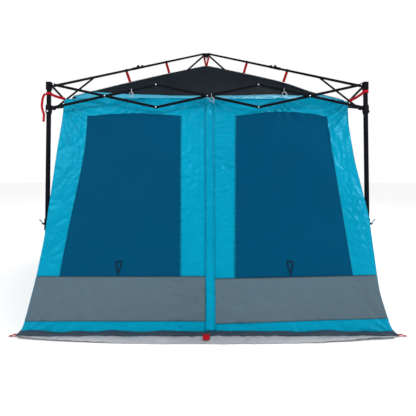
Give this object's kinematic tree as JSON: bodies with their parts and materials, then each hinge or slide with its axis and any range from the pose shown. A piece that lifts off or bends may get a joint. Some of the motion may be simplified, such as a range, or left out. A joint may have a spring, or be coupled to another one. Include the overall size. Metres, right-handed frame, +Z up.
{
  "type": "pop up canopy",
  "caption": "Folding scissor-truss steel frame on telescopic legs with a peaked fabric tent hung inside it on webbing straps, front door zipped shut.",
  "frame": {"origin": "on the ground at the middle of the shelter", "axes": "+Z up, +X to the right seen from the front, front towards -Y"},
  "size_m": [3.0138, 4, 2.829],
  "materials": {
    "frame_steel": "black powder coat, semi-gloss",
    "bracket_plastic": "black moulded nylon with bright rivets",
    "lock_plastic": "light grey moulded plastic",
    "wall_fabric": "bright blue coated polyester with a soft sheen",
    "roof_fabric": "black translucent mesh roof with a blue border",
    "sheet_fabric": "light grey woven ground sheet"
  },
  "bodies": {
    "tent": {"tent_walls": "wall_fabric", "tent_roof": "roof_fabric", "ground_sheet": "sheet_fabric"},
    "hub": {"hub": "bracket_plastic"},
    "front_left_upper_leg": {"front_left_upper_leg": "frame_steel"},
    "front_left_lower_leg": {"front_left_lower_leg": "frame_steel"},
    "front_left_leg_lock": {"front_left_leg_lock": "lock_plastic"},
    "front_left_slider": {"front_left_slider": "bracket_plastic"},
    "front_left_slider_button": {"front_left_slider_button": "bracket_plastic"},
    "front_left_outer_beam": {"front_left_outer_beam": "frame_steel"},
    "front_left_inner_beam": {"front_left_inner_beam": "frame_steel"},
    "front_left_brace": {"front_left_brace": "frame_steel"},
    "front_truss_bar_1": {"front_truss_bar_1": "frame_steel"},
    "front_truss_bar_2": {"front_truss_bar_2": "frame_steel"},
    "front_truss_bar_3": {"front_truss_bar_3": "frame_steel"},
    "front_truss_bar_4": {"front_truss_bar_4": "frame_steel"},
    "front_truss_bar_5": {"front_truss_bar_5": "frame_steel"},
    "front_truss_bar_6": {"front_truss_bar_6": "frame_steel"},
    "front_right_upper_leg": {"front_right_upper_leg": "frame_steel"},
    "front_right_lower_leg": {"front_right_lower_leg": "frame_steel"},
    "front_right_leg_lock": {"front_right_leg_lock": "lock_plastic"},
    "front_right_slider": {"front_right_slider": "bracket_plastic"},
    "front_right_slider_button": {"front_right_slider_button": "bracket_plastic"},
    "front_right_outer_beam": {"front_right_outer_beam": "frame_steel"},
    "front_right_inner_beam": {"front_right_inner_beam": "frame_steel"},
    "front_right_brace": {"front_right_brace": "frame_steel"},
    "right_truss_bar_1": {"right_truss_bar_1": "frame_steel"},
    "right_truss_bar_2": {"right_truss_bar_2": "frame_steel"},
    "right_truss_bar_3": {"right_truss_bar_3": "frame_steel"},
    "right_truss_bar_4": {"right_truss_bar_4": "frame_steel"},
    "right_truss_bar_5": {"right_truss_bar_5": "frame_steel"},
    "right_truss_bar_6": {"right_truss_bar_6": "frame_steel"},
    "rear_right_upper_leg": {"rear_right_upper_leg": "frame_steel"},
    "rear_right_lower_leg": {"rear_right_lower_leg": "frame_steel"},
    "rear_right_leg_lock": {"rear_right_leg_lock": "lock_plastic"},
    "rear_right_slider": {"rear_right_slider": "bracket_plastic"},
    "rear_right_slider_button": {"rear_right_slider_button": "bracket_plastic"},
    "rear_right_outer_beam": {"rear_right_outer_beam": "frame_steel"},
    "rear_right_inner_beam": {"rear_right_inner_beam": "frame_steel"},
    "rear_right_brace": {"rear_right_brace": "frame_steel"},
    "rear_truss_bar_1": {"rear_truss_bar_1": "frame_steel"},
    "rear_truss_bar_2": {"rear_truss_bar_2": "frame_steel"},
    "rear_truss_bar_3": {"rear_truss_bar_3": "frame_steel"},
    "rear_truss_bar_4": {"rear_truss_bar_4": "frame_steel"},
    "rear_truss_bar_5": {"rear_truss_bar_5": "frame_steel"},
    "rear_truss_bar_6": {"rear_truss_bar_6": "frame_steel"},
    "rear_left_upper_leg": {"rear_left_upper_leg": "frame_steel"},
    "rear_left_lower_leg": {"rear_left_lower_leg": "frame_steel"},
    "rear_left_leg_lock": {"rear_left_leg_lock": "lock_plastic"},
    "rear_left_slider": {"rear_left_slider": "bracket_plastic"},
    "rear_left_slider_button": {"rear_left_slider_button": "bracket_plastic"},
    "rear_left_outer_beam": {"rear_left_outer_beam": "frame_steel"},
    "rear_left_inner_beam": {"rear_left_inner_beam": "frame_steel"},
    "rear_left_brace": {"rear_left_brace": "frame_steel"},
    "left_truss_bar_1": {"left_truss_bar_1": "frame_steel"},
    "left_truss_bar_2": {"left_truss_bar_2": "frame_steel"},
    "left_truss_bar_3": {"left_truss_bar_3": "frame_steel"},
    "left_truss_bar_4": {"left_truss_bar_4": "frame_steel"},
    "left_truss_bar_5": {"left_truss_bar_5": "frame_steel"},
    "left_truss_bar_6": {"left_truss_bar_6": "frame_steel"}
  },
  "joints": [
    {"name": "frame_fold", "type": "slide", "parent": "tent", "child": "hub", "axis": [0, 0, -1], "range_m": [0, 0.64699], "deforming": ["tent_walls", "tent_roof", "ground_sheet"]},
    {"name": "front_left_hub_joint", "type": "hinge", "parent": "hub", "child": "front_left_inner_beam", "pos_m": [-0.03677, -0.03677, 2.815], "axis": [0.7071, -0.7071, 0], "range_deg": [0, 68.12]},
    {"name": "front_left_fold_joint", "type": "hinge", "parent": "front_left_inner_beam", "child": "front_left_outer_beam", "pos_m": [-0.76523, -0.76523, 2.42948], "axis": [0.7071, -0.7071, 0], "range_deg": [-172.37, 0]},
    {"name": "front_left_beam_joint", "type": "hinge", "parent": "front_left_outer_beam", "child": "front_left_upper_leg", "pos_m": [-1.41323, -1.41323, 2.05], "axis": [0.7071, -0.7071, 0], "range_deg": [0, 104.26]},
    {"name": "front_truss_1_top", "type": "hinge", "parent": "front_left_upper_leg", "child": "front_truss_bar_1", "pos_m": [-1.408, -1.45, 2.05], "axis": [0, -1, 0], "range_deg": [-71.57, 0]},
    {"name": "front_truss_1_cross", "type": "hinge", "parent": "front_truss_bar_1", "child": "front_truss_bar_2", "pos_m": [-0.93867, -1.45, 1.9465], "axis": [0, -1, 0], "range_deg": [0, 143.14]},
    {"name": "front_left_slider_joint", "type": "hinge", "parent": "front_truss_bar_2", "child": "front_left_slider", "pos_m": [-1.408, -1.45, 1.843], "axis": [0, -1, 0], "range_deg": [-71.57, 0]},
    {"name": "front_truss_2_top", "type": "hinge", "parent": "front_truss_bar_2", "child": "front_truss_bar_3", "pos_m": [-0.46933, -1.45, 2.05], "axis": [0, -1, 0], "range_deg": [-143.14, 0]},
    {"name": "front_truss_2_bottom", "type": "hinge", "parent": "front_truss_bar_1", "child": "front_truss_bar_4", "pos_m": [-0.46933, -1.45, 1.843], "axis": [0, -1, 0], "range_deg": [0, 143.14]},
    {"name": "left_truss_3_top", "type": "hinge", "parent": "front_left_upper_leg", "child": "left_truss_bar_6", "pos_m": [-1.45, -1.408, 2.05], "axis": [-1, 0, 0], "range_deg": [0, 71.57]},
    {"name": "left_truss_3_cross", "type": "hinge", "parent": "left_truss_bar_6", "child": "left_truss_bar_5", "pos_m": [-1.45, -0.93867, 1.9465], "axis": [-1, 0, 0], "range_deg": [-143.14, 0]},
    {"name": "front_left_brace_joint", "type": "hinge", "parent": "front_left_slider", "child": "front_left_brace", "pos_m": [-1.41323, -1.41323, 1.833], "axis": [0.7071, -0.7071, 0], "range_deg": [0, 41.17]},
    {"name": "front_left_leg_slide", "type": "slide", "parent": "front_left_upper_leg", "child": "front_left_lower_leg", "axis": [0, 0, 1], "range_m": [0, 0.65]},
    {"name": "front_left_lock_lever", "type": "hinge", "parent": "front_left_upper_leg", "child": "front_left_leg_lock", "pos_m": [-1.47731, -1.47731, 0.785], "axis": [0.7071, -0.7071, 0], "range_deg": [-20, 0], "stiffness_Nm_per_rad": 0.6, "springref_deg": 5.73},
    {"name": "front_left_button_press", "type": "slide", "parent": "front_left_slider", "child": "front_left_slider_button", "axis": [0, 1, 0], "range_m": [0, 0.003], "stiffness_N_per_m": 400, "springref_m": -0.002},
    {"name": "front_right_hub_joint", "type": "hinge", "parent": "hub", "child": "front_right_inner_beam", "pos_m": [0.03677, -0.03677, 2.815], "axis": [0.7071, 0.7071, 0], "range_deg": [0, 68.12]},
    {"name": "front_right_fold_joint", "type": "hinge", "parent": "front_right_inner_beam", "child": "front_right_outer_beam", "pos_m": [0.76523, -0.76523, 2.42948], "axis": [0.7071, 0.7071, 0], "range_deg": [-172.37, 0]},
    {"name": "front_right_beam_joint", "type": "hinge", "parent": "front_right_outer_beam", "child": "front_right_upper_leg", "pos_m": [1.41323, -1.41323, 2.05], "axis": [0.7071, 0.7071, 0], "range_deg": [0, 104.26]},
    {"name": "right_truss_1_top", "type": "hinge", "parent": "front_right_upper_leg", "child": "right_truss_bar_1", "pos_m": [1.45, -1.408, 2.05], "axis": [1, 0, 0], "range_deg": [-71.57, 0]},
    {"name": "right_truss_1_cross", "type": "hinge", "parent": "right_truss_bar_1", "child": "right_truss_bar_2", "pos_m": [1.45, -0.93867, 1.9465], "axis": [1, 0, 0], "range_deg": [0, 143.14]},
    {"name": "front_right_slider_joint", "type": "hinge", "parent": "right_truss_bar_2", "child": "front_right_slider", "pos_m": [1.45, -1.408, 1.843], "axis": [1, 0, 0], "range_deg": [-71.57, 0]},
    {"name": "right_truss_2_top", "type": "hinge", "parent": "right_truss_bar_2", "child": "right_truss_bar_3", "pos_m": [1.45, -0.46933, 2.05], "axis": [1, 0, 0], "range_deg": [-143.14, 0]},
    {"name": "right_truss_2_bottom", "type": "hinge", "parent": "right_truss_bar_1", "child": "right_truss_bar_4", "pos_m": [1.45, -0.46933, 1.843], "axis": [1, 0, 0], "range_deg": [0, 143.14]},
    {"name": "front_truss_3_top", "type": "hinge", "parent": "front_right_upper_leg", "child": "front_truss_bar_6", "pos_m": [1.408, -1.45, 2.05], "axis": [0, -1, 0], "range_deg": [0, 71.57]},
    {"name": "front_truss_3_cross", "type": "hinge", "parent": "front_truss_bar_6", "child": "front_truss_bar_5", "pos_m": [0.93867, -1.45, 1.9465], "axis": [0, -1, 0], "range_deg": [-143.14, 0]},
    {"name": "front_right_brace_joint", "type": "hinge", "parent": "front_right_slider", "child": "front_right_brace", "pos_m": [1.41323, -1.41323, 1.833], "axis": [0.7071, 0.7071, 0], "range_deg": [0, 41.17]},
    {"name": "front_right_leg_slide", "type": "slide", "parent": "front_right_upper_leg", "child": "front_right_lower_leg", "axis": [0, 0, 1], "range_m": [0, 0.65]},
    {"name": "front_right_lock_lever", "type": "hinge", "parent": "front_right_upper_leg", "child": "front_right_leg_lock", "pos_m": [1.47731, -1.47731, 0.785], "axis": [0.7071, 0.7071, 0], "range_deg": [-20, 0], "stiffness_Nm_per_rad": 0.6, "springref_deg": 5.73},
    {"name": "front_right_button_press", "type": "slide", "parent": "front_right_slider", "child": "front_right_slider_button", "axis": [-1, 0, 0], "range_m": [0, 0.003], "stiffness_N_per_m": 400, "springref_m": -0.002},
    {"name": "rear_right_hub_joint", "type": "hinge", "parent": "hub", "child": "rear_right_inner_beam", "pos_m": [0.03677, 0.03677, 2.815], "axis": [-0.7071, 0.7071, 0], "range_deg": [0, 68.12]},
    {"name": "rear_right_fold_joint", "type": "hinge", "parent": "rear_right_inner_beam", "child": "rear_right_outer_beam", "pos_m": [0.76523, 0.76523, 2.42948], "axis": [-0.7071, 0.7071, 0], "range_deg": [-172.37, 0]},
    {"name": "rear_right_beam_joint", "type": "hinge", "parent": "rear_right_outer_beam", "child": "rear_right_upper_leg", "pos_m": [1.41323, 1.41323, 2.05], "axis": [-0.7071, 0.7071, 0], "range_deg": [0, 104.26]},
    {"name": "rear_truss_1_top", "type": "hinge", "parent": "rear_right_upper_leg", "child": "rear_truss_bar_1", "pos_m": [1.408, 1.45, 2.05], "axis": [0, 1, 0], "range_deg": [-71.57, 0]},
    {"name": "rear_truss_1_cross", "type": "hinge", "parent": "rear_truss_bar_1", "child": "rear_truss_bar_2", "pos_m": [0.93867, 1.45, 1.9465], "axis": [0, 1, 0], "range_deg": [0, 143.14]},
    {"name": "rear_right_slider_joint", "type": "hinge", "parent": "rear_truss_bar_2", "child": "rear_right_slider", "pos_m": [1.408, 1.45, 1.843], "axis": [0, 1, 0], "range_deg": [-71.57, 0]},
    {"name": "rear_truss_2_top", "type": "hinge", "parent": "rear_truss_bar_2", "child": "rear_truss_bar_3", "pos_m": [0.46933, 1.45, 2.05], "axis": [0, 1, 0], "range_deg": [-143.14, 0]},
    {"name": "rear_truss_2_bottom", "type": "hinge", "parent": "rear_truss_bar_1", "child": "rear_truss_bar_4", "pos_m": [0.46933, 1.45, 1.843], "axis": [0, 1, 0], "range_deg": [0, 143.14]},
    {"name": "right_truss_3_top", "type": "hinge", "parent": "rear_right_upper_leg", "child": "right_truss_bar_6", "pos_m": [1.45, 1.408, 2.05], "axis": [1, 0, 0], "range_deg": [0, 71.57]},
    {"name": "right_truss_3_cross", "type": "hinge", "parent": "right_truss_bar_6", "child": "right_truss_bar_5", "pos_m": [1.45, 0.93867, 1.9465], "axis": [1, 0, 0], "range_deg": [-143.14, 0]},
    {"name": "rear_right_brace_joint", "type": "hinge", "parent": "rear_right_slider", "child": "rear_right_brace", "pos_m": [1.41323, 1.41323, 1.833], "axis": [-0.7071, 0.7071, 0], "range_deg": [0, 41.17]},
    {"name": "rear_right_leg_slide", "type": "slide", "parent": "rear_right_upper_leg", "child": "rear_right_lower_leg", "axis": [0, 0, 1], "range_m": [0, 0.65]},
    {"name": "rear_right_lock_lever", "type": "hinge", "parent": "rear_right_upper_leg", "child": "rear_right_leg_lock", "pos_m": [1.47731, 1.47731, 0.785], "axis": [-0.7071, 0.7071, 0], "range_deg": [-20, 0], "stiffness_Nm_per_rad": 0.6, "springref_deg": 5.73},
    {"name": "rear_right_button_press", "type": "slide", "parent": "rear_right_slider", "child": "rear_right_slider_button", "axis": [0, -1, 0], "range_m": [0, 0.003], "stiffness_N_per_m": 400, "springref_m": -0.002},
    {"name": "rear_left_hub_joint", "type": "hinge", "parent": "hub", "child": "rear_left_inner_beam", "pos_m": [-0.03677, 0.03677, 2.815], "axis": [-0.7071, -0.7071, 0], "range_deg": [0, 68.12]},
    {"name": "rear_left_fold_joint", "type": "hinge", "parent": "rear_left_inner_beam", "child": "rear_left_outer_beam", "pos_m": [-0.76523, 0.76523, 2.42948], "axis": [-0.7071, -0.7071, 0], "range_deg": [-172.37, 0]},
    {"name": "rear_left_beam_joint", "type": "hinge", "parent": "rear_left_outer_beam", "child": "rear_left_upper_leg", "pos_m": [-1.41323, 1.41323, 2.05], "axis": [-0.7071, -0.7071, 0], "range_deg": [0, 104.26]},
    {"name": "left_truss_1_top", "type": "hinge", "parent": "rear_left_upper_leg", "child": "left_truss_bar_1", "pos_m": [-1.45, 1.408, 2.05], "axis": [-1, 0, 0], "range_deg": [-71.57, 0]},
    {"name": "left_truss_1_cross", "type": "hinge", "parent": "left_truss_bar_1", "child": "left_truss_bar_2", "pos_m": [-1.45, 0.93867, 1.9465], "axis": [-1, 0, 0], "range_deg": [0, 143.14]},
    {"name": "rear_left_slider_joint", "type": "hinge", "parent": "left_truss_bar_2", "child": "rear_left_slider", "pos_m": [-1.45, 1.408, 1.843], "axis": [-1, 0, 0], "range_deg": [-71.57, 0]},
    {"name": "left_truss_2_top", "type": "hinge", "parent": "left_truss_bar_2", "child": "left_truss_bar_3", "pos_m": [-1.45, 0.46933, 2.05], "axis": [-1, 0, 0], "range_deg": [-143.14, 0]},
    {"name": "left_truss_2_bottom", "type": "hinge", "parent": "left_truss_bar_1", "child": "left_truss_bar_4", "pos_m": [-1.45, 0.46933, 1.843], "axis": [-1, 0, 0], "range_deg": [0, 143.14]},
    {"name": "rear_truss_3_top", "type": "hinge", "parent": "rear_left_upper_leg", "child": "rear_truss_bar_6", "pos_m": [-1.408, 1.45, 2.05], "axis": [0, 1, 0], "range_deg": [0, 71.57]},
    {"name": "rear_truss_3_cross", "type": "hinge", "parent": "rear_truss_bar_6", "child": "rear_truss_bar_5", "pos_m": [-0.93867, 1.45, 1.9465], "axis": [0, 1, 0], "range_deg": [-143.14, 0]},
    {"name": "rear_left_brace_joint", "type": "hinge", "parent": "rear_left_slider", "child": "rear_left_brace", "pos_m": [-1.41323, 1.41323, 1.833], "axis": [-0.7071, -0.7071, 0], "range_deg": [0, 41.17]},
    {"name": "rear_left_leg_slide", "type": "slide", "parent": "rear_left_upper_leg", "child": "rear_left_lower_leg", "axis": [0, 0, 1], "range_m": [0, 0.65]},
    {"name": "rear_left_lock_lever", "type": "hinge", "parent": "rear_left_upper_leg", "child": "rear_left_leg_lock", "pos_m": [-1.47731, 1.47731, 0.785], "axis": [-0.7071, -0.7071, 0], "range_deg": [-20, 0], "stiffness_Nm_per_rad": 0.6, "springref_deg": 5.73},
    {"name": "rear_left_button_press", "type": "slide", "parent": "rear_left_slider", "child": "rear_left_slider_button", "axis": [1, 0, 0], "range_m": [0, 0.003], "stiffness_N_per_m": 400, "springref_m": -0.002}
  ],
  "couplings": [
    {"joint": "front_left_hub_joint", "follows": "frame_fold", "rad_per_m": 1.8373},
    {"joint": "front_left_fold_joint", "follows": "frame_fold", "rad_per_m": -4.6497},
    {"joint": "front_left_beam_joint", "follows": "frame_fold", "rad_per_m": 2.8124},
    {"joint": "front_truss_1_top", "follows": "frame_fold", "rad_per_m": -1.9305},
    {"joint": "front_truss_1_cross", "follows": "frame_fold", "rad_per_m": 3.861},
    {"joint": "front_left_slider_joint", "follows": "frame_fold", "rad_per_m": -1.9305},
    {"joint": "front_truss_2_top", "follows": "frame_fold", "rad_per_m": -3.861},
    {"joint": "front_truss_2_bottom", "follows": "frame_fold", "rad_per_m": 3.861},
    {"joint": "left_truss_3_top", "follows": "frame_fold", "rad_per_m": 1.9305},
    {"joint": "left_truss_3_cross", "follows": "frame_fold", "rad_per_m": -3.861},
    {"joint": "front_left_brace_joint", "follows": "frame_fold", "rad_per_m": 1.1104},
    {"joint": "front_right_hub_joint", "follows": "frame_fold", "rad_per_m": 1.8373},
    {"joint": "front_right_fold_joint", "follows": "frame_fold", "rad_per_m": -4.6497},
    {"joint": "front_right_beam_joint", "follows": "frame_fold", "rad_per_m": 2.8124},
    {"joint": "right_truss_1_top", "follows": "frame_fold", "rad_per_m": -1.9305},
    {"joint": "right_truss_1_cross", "follows": "frame_fold", "rad_per_m": 3.861},
    {"joint": "front_right_slider_joint", "follows": "frame_fold", "rad_per_m": -1.9305},
    {"joint": "right_truss_2_top", "follows": "frame_fold", "rad_per_m": -3.861},
    {"joint": "right_truss_2_bottom", "follows": "frame_fold", "rad_per_m": 3.861},
    {"joint": "front_truss_3_top", "follows": "frame_fold", "rad_per_m": 1.9305},
    {"joint": "front_truss_3_cross", "follows": "frame_fold", "rad_per_m": -3.861},
    {"joint": "front_right_brace_joint", "follows": "frame_fold", "rad_per_m": 1.1104},
    {"joint": "rear_right_hub_joint", "follows": "frame_fold", "rad_per_m": 1.8373},
    {"joint": "rear_right_fold_joint", "follows": "frame_fold", "rad_per_m": -4.6497},
    {"joint": "rear_right_beam_joint", "follows": "frame_fold", "rad_per_m": 2.8124},
    {"joint": "rear_truss_1_top", "follows": "frame_fold", "rad_per_m": -1.9305},
    {"joint": "rear_truss_1_cross", "follows": "frame_fold", "rad_per_m": 3.861},
    {"joint": "rear_right_slider_joint", "follows": "frame_fold", "rad_per_m": -1.9305},
    {"joint": "rear_truss_2_top", "follows": "frame_fold", "rad_per_m": -3.861},
    {"joint": "rear_truss_2_bottom", "follows": "frame_fold", "rad_per_m": 3.861},
    {"joint": "right_truss_3_top", "follows": "frame_fold", "rad_per_m": 1.9305},
    {"joint": "right_truss_3_cross", "follows": "frame_fold", "rad_per_m": -3.861},
    {"joint": "rear_right_brace_joint", "follows": "frame_fold", "rad_per_m": 1.1104},
    {"joint": "rear_left_hub_joint", "follows": "frame_fold", "rad_per_m": 1.8373},
    {"joint": "rear_left_fold_joint", "follows": "frame_fold", "rad_per_m": -4.6497},
    {"joint": "rear_left_beam_joint", "follows": "frame_fold", "rad_per_m": 2.8124},
    {"joint": "left_truss_1_top", "follows": "frame_fold", "rad_per_m": -1.9305},
    {"joint": "left_truss_1_cross", "follows": "frame_fold", "rad_per_m": 3.861},
    {"joint": "rear_left_slider_joint", "follows": "frame_fold", "rad_per_m": -1.9305},
    {"joint": "left_truss_2_top", "follows": "frame_fold", "rad_per_m": -3.861},
    {"joint": "left_truss_2_bottom", "follows": "frame_fold", "rad_per_m": 3.861},
    {"joint": "rear_truss_3_top", "follows": "frame_fold", "rad_per_m": 1.9305},
    {"joint": "rear_truss_3_cross", "follows": "frame_fold", "rad_per_m": -3.861},
    {"joint": "rear_left_brace_joint", "follows": "frame_fold", "rad_per_m": 1.1104}
  ]
}
